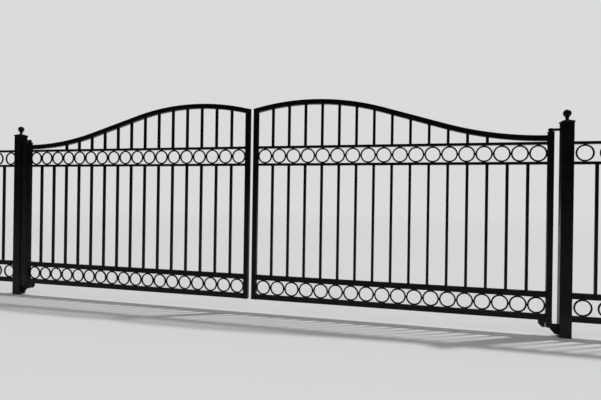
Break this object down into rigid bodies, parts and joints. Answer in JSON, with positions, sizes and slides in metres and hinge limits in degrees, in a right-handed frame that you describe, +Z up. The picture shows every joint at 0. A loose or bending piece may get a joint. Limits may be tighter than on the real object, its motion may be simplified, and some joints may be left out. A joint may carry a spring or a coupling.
{
  "type": "wrought iron driveway gate",
  "caption": "Double-leaf driveway gate of square pickets between two bands of rings, under a curved top rail, hung on posts with ball finials and a fence bay each side.",
  "frame": {"origin": "middle of the foot of the left gate post, at ground level", "axes": "X along the gate towards the right post, Y in through the gate away from the street, Z up"},
  "size_m": [8.17, 0.084, 1.657],
  "materials": {
    "black_paint": "glossy black paint on steel",
    "hinge_paint": "black paint worn at the pivots, greased pins",
    "shoe_paint": "dull black paint, scuffed and dusty"
  },
  "bodies": {
    "posts_and_fence": {"left_post": "black_paint", "right_post": "black_paint", "left_end_post": "black_paint", "right_end_post": "black_paint", "left_finial": "black_paint", "right_finial": "black_paint", "left_end_finial": "black_paint", "right_end_finial": "black_paint", "left_fence_panel": "black_paint", "right_fence_panel": "black_paint", "left_upper_hinge_post_half": "hinge_paint", "left_lower_hinge_post_half": "hinge_paint", "right_upper_hinge_post_half": "hinge_paint", "right_lower_hinge_post_half": "hinge_paint"},
    "left_leaf": {"left_hinge_stile": "black_paint", "left_stile_cap": "black_paint", "left_meeting_stile": "black_paint", "left_top_rail": "black_paint", "left_upper_ring_rail": "black_paint", "left_lower_ring_rail": "black_paint", "left_middle_rail": "black_paint", "left_bottom_rail": "black_paint", "left_upper_rings": "black_paint", "left_lower_rings": "black_paint", "left_pickets": "black_paint", "left_short_pickets": "black_paint", "left_upper_hinge_leaf_half": "hinge_paint", "left_lower_hinge_leaf_half": "hinge_paint", "left_corner_shoe": "shoe_paint"},
    "right_leaf": {"right_hinge_stile": "black_paint", "right_stile_cap": "black_paint", "right_meeting_stile": "black_paint", "right_top_rail": "black_paint", "right_upper_ring_rail": "black_paint", "right_lower_ring_rail": "black_paint", "right_middle_rail": "black_paint", "right_bottom_rail": "black_paint", "right_upper_rings": "black_paint", "right_lower_rings": "black_paint", "right_pickets": "black_paint", "right_short_pickets": "black_paint", "right_upper_hinge_leaf_half": "hinge_paint", "right_lower_hinge_leaf_half": "hinge_paint", "right_corner_shoe": "shoe_paint"}
  },
  "joints": [
    {"name": "left_leaf_swing", "type": "hinge", "parent": "posts_and_fence", "child": "left_leaf", "pos_m": [0.097, 0, 0.105], "axis": [0, 0, 1], "range_deg": [0, 90]},
    {"name": "right_leaf_swing", "type": "hinge", "parent": "posts_and_fence", "child": "right_leaf", "pos_m": [4.381, 0, 0.105], "axis": [0, 0, -1], "range_deg": [0, 90]}
  ]
}
